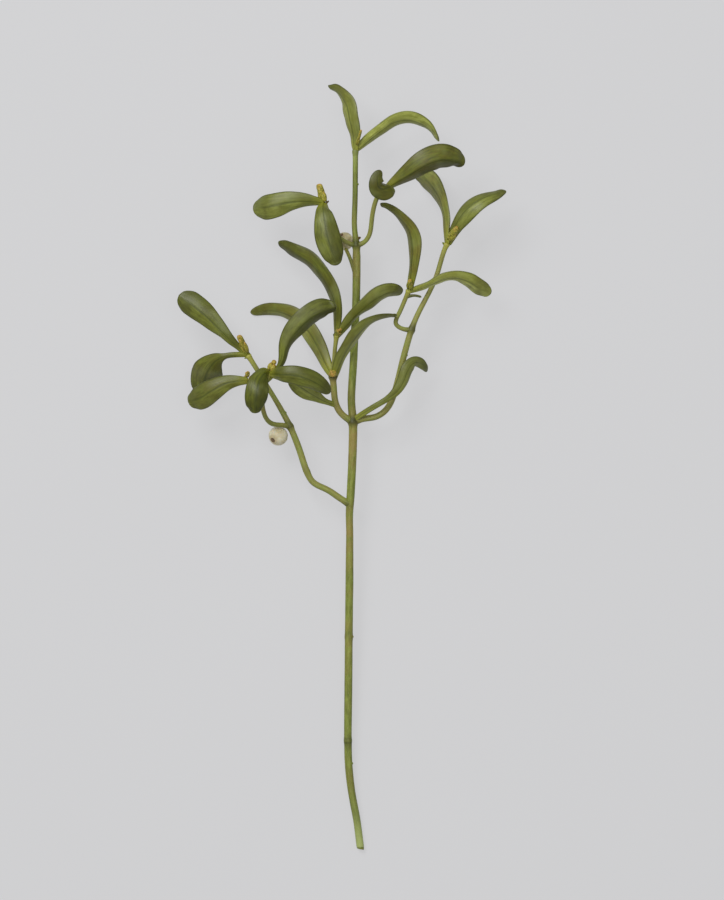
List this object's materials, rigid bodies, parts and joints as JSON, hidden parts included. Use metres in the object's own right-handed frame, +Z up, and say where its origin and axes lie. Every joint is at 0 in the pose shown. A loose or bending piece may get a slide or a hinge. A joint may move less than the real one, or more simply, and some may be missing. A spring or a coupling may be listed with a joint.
{
  "type": "mistletoe sprig",
  "caption": "Cut mistletoe sprig lying down: a jointed, forked green stem with leathery oblong leaves in pairs, small bud clusters at its joints and pale round berries.",
  "frame": {"origin": "middle of the sprig's footprint, on the surface it lies on", "axes": "+Y from the stem's cut end to its topmost leaves, +X to the right seen from above, +Z up from the surface"},
  "size_m": [0.1478, 0.3454, 0.044],
  "materials": {
    "stem": "satin green bark",
    "leaf": "satin, leathery",
    "bud": "matt",
    "berry": "smooth, waxy"
  },
  "bodies": {
    "root": {"main_stem": "stem", "left_branch": "stem", "left_side_twig": "stem", "left_short_twig": "stem", "middle_branch": "stem", "right_branch": "stem", "right_side_twig": "stem", "right_stub": "stem", "top_right_twig": "stem", "top_left_twig": "stem", "berry_stalk": "stem", "top_leaf_left": "leaf", "top_leaf_right": "leaf", "upper_right_leaf_long": "leaf", "upper_right_leaf_short": "leaf", "right_leaf_inner": "leaf", "right_leaf_outer": "leaf", "right_leaf_tall": "leaf", "right_leaf_low": "leaf", "top_left_leaf_outer": "leaf", "top_left_leaf_inner": "leaf", "middle_leaf_upper_left": "leaf", "middle_leaf_upper_right": "leaf", "middle_leaf_lower_left": "leaf", "middle_leaf_lower_right": "leaf", "left_leaf_crossing": "leaf", "left_leaf_right": "leaf", "left_leaf_front": "leaf", "left_leaf_outer": "leaf", "left_leaf_drooping": "leaf", "left_leaf_upper": "leaf", "middle_leaf_hidden": "leaf", "right_leaf_stalked": "leaf", "buds_top": "bud", "buds_top_left": "bud", "buds_right": "bud", "buds_right_side": "bud", "buds_middle_upper": "bud", "buds_middle_lower": "bud", "buds_left": "bud", "buds_left_side": "bud", "buds_left_short": "bud", "berry_left": "berry", "berry_top": "berry"}
  },
  "joints": []
}
